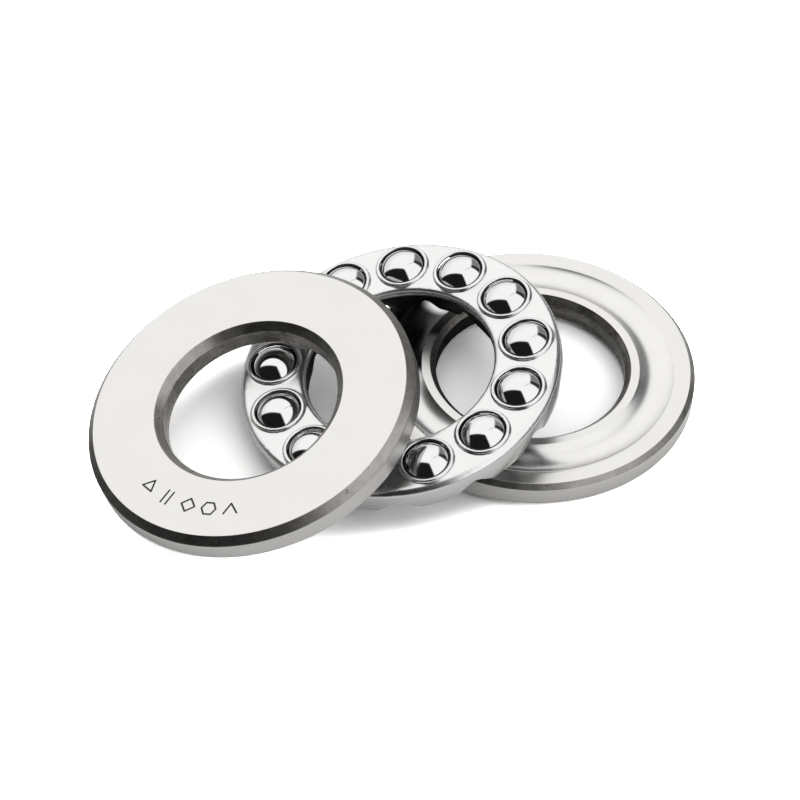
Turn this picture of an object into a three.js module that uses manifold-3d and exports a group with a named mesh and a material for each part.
// A single-direction thrust ball bearing, taken apart and laid out in a row along X: the housing
// washer lies flat with its raceway up, the cage with its balls leans on the housing washer's rim,
// and the shaft washer leans on the cage with its raceway down. Millimetres, +Z up. The origin is
// the middle of the row, on the surface that it lies on.
import * as THREE from "three";
import { mergeVertices } from "three/addons/utils/BufferGeometryUtils.js";
import Module from "manifold-3d";

// ---- Balls ----
const ballDiameter = 7.938;
const ballCount = 13;
const ballSpacing = 0.7015; // clear distance between neighbouring balls
const ballRadius = ballDiameter / 2;
const pitchRadius = (ballDiameter + ballSpacing) / (2 * Math.sin(Math.PI / ballCount));

// ---- Washers: both have the same ring section outside the bore ----
const washerThickness = 4.35;
const grooveDepth = 0.82;
const grooveConformity = 1.063; // raceway groove radius over ball radius
const outerLand = 2.95; // flat ring outside the groove
const housingInnerLand = 2.05; // flat ring between the groove and the housing washer's bore
const shaftInnerLand = 3.05; // the same on the shaft washer, whose bore is smaller
const flatSideChamfer = 1.05;
const grooveSideChamfer = 0.7;
const boreFlatChamfer = 1.05;
const boreGrooveChamfer = 0.85;
const grooveRadius = ballRadius * grooveConformity;
const grooveHalfWidth = Math.sqrt(grooveRadius ** 2 - (grooveRadius - grooveDepth) ** 2);
const washerRadius = pitchRadius + grooveHalfWidth + outerLand;
const housingBoreRadius = pitchRadius - grooveHalfWidth - housingInnerLand;
const shaftBoreRadius = pitchRadius - grooveHalfWidth - shaftInnerLand;

// ---- Cage: one ring pressed from sheet, heights measured from the plane of the ball centres ----
const sheetThickness = 0.5;
const skirtClearance = 0.23; // from the balls to the inside of the skirts
const pocketClearance = 0.42; // from a ball to the wall of its pocket
const plateHeight = 2.3; // top face of the flat plate
const shoulderRound = 1.0; // corner between the plate and a skirt
const lipHeight = 0.45; // drawn collar round each pocket, above the plate
const lipWidth = 0.45;
const lipFlare = 0.15; // how much wider the collar is at its foot
const lobeDepth = 1.6; // the skirts reach this far down beside each ball
const notchHeight = 0.3; // and are cut up to here between two balls
const lobeTuck = 0.3; // how far a lobe's edge leans in under its ball
const lobeShare = 0.4; // share of a pocket's half width where the lobe has its full depth
const waistShare = 0.4; // share of the skirt's height above which it stands straight
const bevelShare = 0.3; // facet of the shoulder, as a share of its round
const cageHalfWidth = ballRadius + skirtClearance + sheetThickness;

// ---- Layout of the row ----
const cageSpacing = 19.32; // housing washer's axis to the centre of the cage, along the row
const cageAside = 0.74; // the cage lies a little off the line of the washers
const shaftSpacing = 42.1; // housing washer's axis to the centre of the shaft washer's flat face
const cageLean = THREE.MathUtils.degToRad(12.2);
const shaftLean = THREE.MathUtils.degToRad(16.8);
const cageTurn = THREE.MathUtils.degToRad(13.1); // first ball, from the cage's high side
const restGap = 0.3; // clearance left where one piece leans on another

// ---- Fineness of the facets ----
const washerSteps = 60;
const grooveSteps = 8;
const cageStepsPerBall = 6;
const pocketSteps = 16;
const pocketRows = 12;
const ballSteps = 14;
const ballRows = 10;
const leanSteps = 240;
const settleSteps = 40; // halvings of the height that is searched

const wasm = await Module();
wasm.setup();

function toSolid(geometry) {
  const bare = geometry.clone();
  bare.deleteAttribute("normal");
  bare.deleteAttribute("uv");
  const merged = mergeVertices(bare);
  return new wasm.Manifold(new wasm.Mesh({
    numProp: 3,
    vertProperties: new Float32Array(merged.attributes.position.array),
    triVerts: new Uint32Array(merged.index.array),
  }));
}

function toGeometry(solid) {
  const mesh = solid.getMesh();
  const geometry = new THREE.BufferGeometry();
  geometry.setAttribute("position", new THREE.BufferAttribute(mesh.vertProperties, 3));
  geometry.setIndex(new THREE.BufferAttribute(mesh.triVerts, 1));
  geometry.computeVertexNormals();
  return geometry;
}

// Turns a closed outline of [radius, height] points round the Z axis, starting on +X.
function turned(outline, steps) {
  const profile = [...outline, outline[0]].map(([radius, height]) => new THREE.Vector2(radius, height));
  return new THREE.LatheGeometry(profile, steps, Math.PI / 2).rotateX(Math.PI / 2);
}

function mesh(name, geometry, material) {
  const part = new THREE.Mesh(geometry, material);
  part.name = name;
  return part;
}

// ---- Materials ----
function steel(color, roughness) {
  return new THREE.MeshStandardMaterial({ color, roughness, metalness: 1 });
}

const groundSteel = () => steel(0xd9d8d5, 0.35);
const pressedSteel = () => steel(0xdededd, 0.3);
const polishedSteel = () => steel(0xe6e6e8, 0.05);

// ---- Washers ----

// Flat face at height 0, raceway in the other face; the points run anticlockwise.
function washerOutline(boreRadius) {
  const grooveCentre = washerThickness + grooveRadius - grooveDepth;
  const halfAngle = Math.asin(grooveHalfWidth / grooveRadius);
  const groove = [];
  for (let step = 0; step <= grooveSteps; step++) {
    const angle = THREE.MathUtils.lerp(halfAngle, -halfAngle, step / grooveSteps);
    groove.push([
      pitchRadius + grooveRadius * Math.sin(angle),
      grooveCentre - grooveRadius * Math.cos(angle),
    ]);
  }
  return [
    [boreRadius + boreFlatChamfer, 0],
    [washerRadius - flatSideChamfer, 0],
    [washerRadius, flatSideChamfer],
    [washerRadius, washerThickness - grooveSideChamfer],
    [washerRadius - grooveSideChamfer, washerThickness],
    ...groove,
    [boreRadius + boreGrooveChamfer, washerThickness],
    [boreRadius, washerThickness - boreGrooveChamfer],
    [boreRadius, boreFlatChamfer],
  ];
}

function washer(name, boreRadius) {
  return mesh(name, turned(washerOutline(boreRadius), washerSteps), groundSteel());
}

// ---- Balls ----
function ball(index) {
  const angle = (index * 2 * Math.PI) / ballCount;
  const geometry = new THREE.SphereGeometry(ballRadius, ballSteps, ballRows);
  const part = mesh(`ball_${String(index + 1).padStart(2, "0")}`, geometry, polishedSteel());
  part.position.set(pitchRadius * Math.cos(angle), pitchRadius * Math.sin(angle), 0);
  part.rotation.z = angle - Math.PI / 2; // poles on the radial line, the axis that the ball rolls about
  return part;
}

// ---- Cage ----

// How far down the skirts reach at an angle: 1 beside a ball, 0 midway between two.
function lobe(angle) {
  const pitch = (2 * Math.PI) / ballCount;
  const fromBall = Math.abs(angle / pitch - Math.round(angle / pitch)) * 2;
  return 1 - THREE.MathUtils.smoothstep(fromBall, lobeShare, 1);
}

// Section of the pressed ring, an upside-down channel, as [offset from the pitch circle, height].
function cageSection(reach) {
  const edge = THREE.MathUtils.lerp(notchHeight, -lobeDepth, reach);
  const shoulder = plateHeight - shoulderRound;
  const waist = THREE.MathUtils.lerp(shoulder, edge, waistShare);
  const bevel = bevelShare * shoulderRound;
  const outside = cageHalfWidth;
  const inside = cageHalfWidth - sheetThickness;
  const tuck = lobeTuck * reach;
  const outer = [
    [outside - tuck, edge],
    [outside, waist],
    [outside, shoulder],
    [outside - bevel, plateHeight - bevel],
    [outside - shoulderRound, plateHeight],
  ];
  const under = [
    [inside - tuck, edge],
    [inside, waist],
    [inside, shoulder],
    [outside - shoulderRound, plateHeight - sheetThickness],
  ];
  const mirrored = (points) => points.map(([offset, height]) => [-offset, height]);
  return [...outer, ...mirrored(outer).reverse(), ...mirrored(under), ...under.reverse()];
}

function pressedRing() {
  const outline = (angle) => cageSection(lobe(angle)).map(([offset, height]) => [pitchRadius + offset, height]);
  const geometry = turned(outline(0), ballCount * cageStepsPerBall);
  const position = geometry.attributes.position;
  const pointCount = outline(0).length + 1;
  for (let column = 0; column <= ballCount * cageStepsPerBall; column++) {
    const angle = (column * 2 * Math.PI) / (ballCount * cageStepsPerBall);
    const points = outline(angle);
    for (let row = 0; row < pointCount; row++) {
      const [radius, height] = points[row % points.length];
      position.setXYZ(column * pointCount + row, radius * Math.cos(angle), radius * Math.sin(angle), height);
    }
  }
  return toSolid(geometry);
}

// The drawn collar is a shallow cone until the pocket is cut through it.
function pocketCollar() {
  const height = plateHeight + lipHeight;
  const pocketRadius = Math.sqrt((ballRadius + pocketClearance) ** 2 - height ** 2);
  const rim = pocketRadius + lipWidth;
  const foot = plateHeight - sheetThickness / 2;
  const cone = [
    [0, foot],
    [rim + lipFlare, foot],
    [rim, height],
    [0, height],
  ];
  const profile = cone.map(([radius, z]) => new THREE.Vector2(radius, z));
  return new THREE.LatheGeometry(profile, pocketSteps).rotateX(Math.PI / 2);
}

function cage() {
  const pocket = new THREE.SphereGeometry(ballRadius + pocketClearance, pocketSteps, pocketRows);
  let ring = pressedRing();
  for (let index = 0; index < ballCount; index++) {
    const turn = new THREE.Matrix4().makeRotationZ((index * 2 * Math.PI) / ballCount);
    const place = turn.multiply(new THREE.Matrix4().makeTranslation(pitchRadius, 0, 0));
    ring = ring.add(toSolid(pocketCollar().applyMatrix4(place)));
    ring = ring.subtract(toSolid(pocket.clone().applyMatrix4(place)));
  }
  return mesh("cage", toGeometry(ring), pressedSteel());
}

// ---- Layout ----

// Distance from a point to a closed outline of [radius, height] points, negative inside it.
function outlineDistance(outline, radius, height) {
  let nearest = Infinity;
  let inside = false;
  outline.forEach(([r1, z1], index) => {
    const [r2, z2] = outline[(index + 1) % outline.length];
    const along = ((radius - r1) * (r2 - r1) + (height - z1) * (z2 - z1)) / ((r2 - r1) ** 2 + (z2 - z1) ** 2);
    const share = THREE.MathUtils.clamp(along, 0, 1);
    nearest = Math.min(nearest, Math.hypot(radius - r1 - share * (r2 - r1), height - z1 - share * (z2 - z1)));
    if (z1 > height !== z2 > height && radius < r1 + ((height - z1) * (r2 - r1)) / (z2 - z1)) {
      inside = !inside;
    }
  });
  return inside ? -nearest : nearest;
}

// Rings of points in a group's own axes, each with the radius of what rolls or stands out there.
function ringPoints(group, rings) {
  group.updateMatrixWorld();
  return rings.flatMap(({ radius, height, reach }) =>
    Array.from({ length: leanSteps }, (_, step) => {
      const angle = (step * 2 * Math.PI) / leanSteps;
      const point = new THREE.Vector3(radius * Math.cos(angle), radius * Math.sin(angle), height);
      return { point: group.localToWorld(point), reach };
    }),
  );
}

// Smallest clearance between rings of points and a washer, less the gap that is wanted.
function washerClearance(points, washerGroup, outline) {
  washerGroup.updateMatrixWorld();
  return Math.min(...points.map(({ point, reach }) => {
    const local = washerGroup.worldToLocal(point.clone());
    return outlineDistance(outline, Math.hypot(local.x, local.y), local.z) - reach - restGap;
  }));
}

function floorClearance(points) {
  return Math.min(...points.map(({ point, reach }) => point.z - reach));
}

// Lowers a group until the clearance that is measured there has just gone.
function settle(group, clearance) {
  let low = 0;
  let high = 4 * pitchRadius;
  for (let step = 0; step < settleSteps; step++) {
    group.position.z = (low + high) / 2;
    if (clearance() > 0) {
      high = group.position.z;
    } else {
      low = group.position.z;
    }
  }
  group.position.z = high;
}

const cageRings = [
  { radius: pitchRadius, height: 0, reach: ballRadius },
  { radius: pitchRadius + cageHalfWidth, height: plateHeight - shoulderRound, reach: 0 },
  { radius: pitchRadius + cageHalfWidth - lobeTuck, height: -lobeDepth, reach: 0 },
  { radius: pitchRadius - cageHalfWidth + lobeTuck, height: -lobeDepth, reach: 0 },
];
const washerRings = washerOutline(shaftBoreRadius).map(([radius, height]) => ({ radius, height, reach: 0 }));

const housing = new THREE.Group();
housing.add(washer("housing_washer", housingBoreRadius));

const cageAndBalls = new THREE.Group();
cageAndBalls.position.set(-cageSpacing, cageAside, 0);
cageAndBalls.rotation.y = -cageLean;
const turnedCage = new THREE.Group();
turnedCage.rotation.z = cageTurn;
turnedCage.add(cage());
for (let index = 0; index < ballCount; index++) {
  turnedCage.add(ball(index));
}
cageAndBalls.add(turnedCage);
settle(cageAndBalls, () => {
  const points = ringPoints(cageAndBalls, cageRings);
  return Math.min(floorClearance(points), washerClearance(points, housing, washerOutline(housingBoreRadius)));
});

// The shaft washer lies with its raceway down, so it is turned over as well as leaned.
const shaft = new THREE.Group();
shaft.position.set(-shaftSpacing, 0, 0);
shaft.rotation.y = Math.PI - shaftLean;
shaft.add(washer("shaft_washer", shaftBoreRadius));
const restingOn = ringPoints(cageAndBalls, cageRings);
settle(shaft, () => Math.min(
  floorClearance(ringPoints(shaft, washerRings)),
  washerClearance(restingOn, shaft, washerOutline(shaftBoreRadius)),
));

// The row is moved along X so that its middle is at the origin.
const bearing = new THREE.Group();
bearing.add(housing, cageAndBalls, shaft);
const extent = new THREE.Box3().setFromObject(bearing, true);
bearing.position.x = -(extent.min.x + extent.max.x) / 2;

export default bearing;
